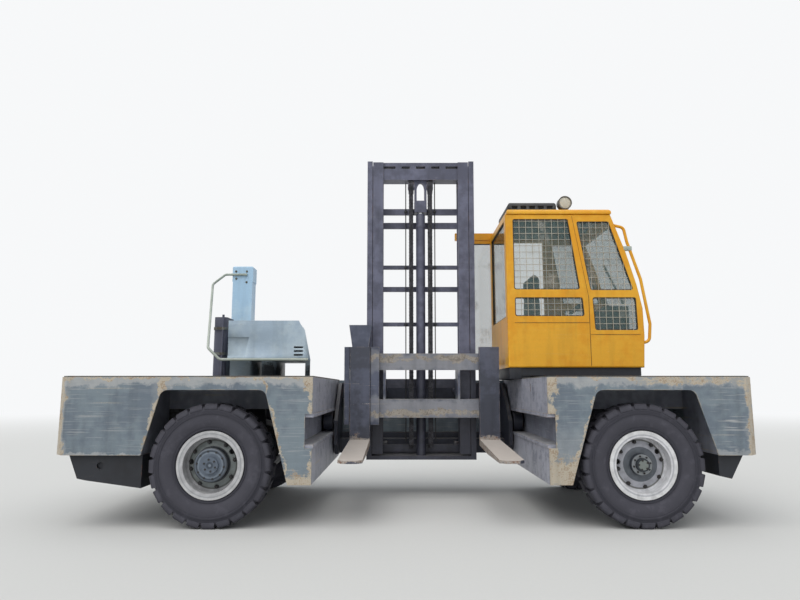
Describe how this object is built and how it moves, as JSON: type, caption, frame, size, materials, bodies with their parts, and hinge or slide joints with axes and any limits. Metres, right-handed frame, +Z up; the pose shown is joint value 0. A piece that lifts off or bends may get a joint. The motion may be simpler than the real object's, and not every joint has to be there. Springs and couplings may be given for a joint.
{
  "type": "side loader forklift",
  "caption": "Side-loading forklift truck: a long flat deck with a well across it, an upright lift mast that reaches out sideways with two forks, a cab at one end.",
  "frame": {"origin": "on the ground below the middle of the deck's length and width", "axes": "+X towards the cab end, -Y towards the loading side, +Z up"},
  "size_m": [6.03, 2.4, 3.7597],
  "materials": {
    "frame_paint": "worn grey-green paint with bare and rusty edges",
    "deck_paint": "dark scuffed deck plate",
    "underside_steel": "dark dusty paint",
    "mast_paint": "dark blue-grey paint, dusty and greasy",
    "bright_rod": "polished rod",
    "chain_steel": "oiled chain",
    "carriage_steel": "dark paint, worn to bare steel on the bars",
    "fork_steel": "dark paint, worn pale on the blades",
    "cab_paint": "amber yellow paint",
    "cab_glass": "lightly tinted glass",
    "guard_wire": "dark wire, dusty",
    "seat_fabric": "dark woven cloth",
    "dark_plastic": "matt black plastic",
    "lamp_housing": "grey lamp housing",
    "engine_iron": "engine castings",
    "hood_paint": "pale blue-grey paint",
    "silencer_steel": "dark heat-stained steel",
    "rail_paint": "pale grey paint",
    "tyre": "dusty black rubber",
    "rim_paint": "silver paint"
  },
  "bodies": {
    "chassis": {"rear_skirts": "frame_paint", "front_skirts": "frame_paint", "deck_plates": "deck_paint", "rear_frame": "frame_paint", "front_frame": "frame_paint", "back_beam": "frame_paint", "rear_axle": "underside_steel", "front_axle": "underside_steel", "cab_floor": "underside_steel", "cab_near_side": "cab_paint", "cab_far_side": "cab_paint", "cab_rear_wall": "cab_paint", "cab_front_frame": "cab_paint", "cab_roof": "cab_paint", "cab_glass": "cab_glass", "window_guards": "guard_wire", "driver_seat": "seat_fabric", "cab_console": "dark_plastic", "grab_rail": "cab_paint", "roof_vent": "dark_plastic", "work_lamp": "lamp_housing", "engine_block": "engine_iron", "engine_hood": "hood_paint", "air_stack": "hood_paint", "silencer": "silencer_steel", "deck_rail": "rail_paint", "side_tanks": "underside_steel", "front_step": "underside_steel"},
    "knuckle_near": {"knuckle_near": "underside_steel"},
    "knuckle_far": {"knuckle_far": "underside_steel"},
    "wheel_rear_near": {"tyre_rear_near": "tyre", "rim_rear_near": "rim_paint"},
    "wheel_rear_far": {"tyre_rear_far": "tyre", "rim_rear_far": "rim_paint"},
    "wheel_front_near": {"tyre_front_near": "tyre", "rim_front_near": "rim_paint"},
    "wheel_front_far": {"tyre_front_far": "tyre", "rim_front_far": "rim_paint"},
    "reach_carriage": {"reach_carriage": "mast_paint"},
    "outer_mast": {"outer_mast": "mast_paint", "lift_cylinder": "mast_paint"},
    "tilt_rods": {"tilt_rods": "bright_rod"},
    "inner_mast": {"inner_mast": "mast_paint", "lift_rod": "bright_rod", "lift_chains": "chain_steel"},
    "fork_carriage": {"fork_carriage": "carriage_steel", "forks": "fork_steel"},
    "cab_door": {"cab_door": "cab_paint", "door_glass": "cab_glass"},
    "hood_lid": {"hood_lid": "hood_paint"}
  },
  "joints": [
    {"name": "steer_near", "type": "hinge", "parent": "chassis", "child": "knuckle_near", "pos_m": [2.03, -0.86, 0.525], "axis": [0, 0, 1], "range_deg": [-32, 32]},
    {"name": "steer_far", "type": "hinge", "parent": "chassis", "child": "knuckle_far", "pos_m": [2.03, 0.86, 0.525], "axis": [0, 0, 1], "range_deg": [-32, 32]},
    {"name": "roll_rear_near", "type": "hinge", "parent": "chassis", "child": "wheel_rear_near", "pos_m": [-1.68, -1.04, 0.525], "axis": [0, 1, 0], "continuous": true},
    {"name": "roll_rear_far", "type": "hinge", "parent": "chassis", "child": "wheel_rear_far", "pos_m": [-1.68, 1.04, 0.525], "axis": [0, 1, 0], "continuous": true},
    {"name": "roll_front_near", "type": "hinge", "parent": "knuckle_near", "child": "wheel_front_near", "pos_m": [2.03, -1.04, 0.525], "axis": [0, 1, 0], "continuous": true},
    {"name": "roll_front_far", "type": "hinge", "parent": "knuckle_far", "child": "wheel_front_far", "pos_m": [2.03, 1.04, 0.525], "axis": [0, 1, 0], "continuous": true},
    {"name": "reach", "type": "slide", "parent": "chassis", "child": "reach_carriage", "axis": [0, -1, 0], "range_m": [0, 1.25]},
    {"name": "mast_tilt", "type": "hinge", "parent": "reach_carriage", "child": "outer_mast", "pos_m": [0.18, 0.69, 0.52], "axis": [1, 0, 0], "range_deg": [-8, 2]},
    {"name": "tilt_stroke", "type": "slide", "parent": "reach_carriage", "child": "tilt_rods", "axis": [0, 1, 0], "range_m": [-0.025, 0.092]},
    {"name": "mast_lift", "type": "slide", "parent": "outer_mast", "child": "inner_mast", "axis": [0, -0.0523, 0.9986], "range_m": [0, 1.95]},
    {"name": "carriage_lift", "type": "slide", "parent": "inner_mast", "child": "fork_carriage", "axis": [0, -0.0523, 0.9986], "range_m": [0, 1.95]},
    {"name": "door_slide", "type": "slide", "parent": "chassis", "child": "cab_door", "axis": [1, 0, 0], "range_m": [-0.06, 0.4]},
    {"name": "hood_hinge", "type": "hinge", "parent": "chassis", "child": "hood_lid", "pos_m": [-1.5, 0.755, 1.885], "axis": [-1, 0, 0], "range_deg": [0, 75]}
  ],
  "couplings": [
    {"joint": "steer_far", "follows": "steer_near", "ratio": 1},
    {"joint": "tilt_stroke", "follows": "mast_tilt", "m_per_rad": -0.6273},
    {"joint": "carriage_lift", "follows": "mast_lift", "ratio": 1}
  ]
}
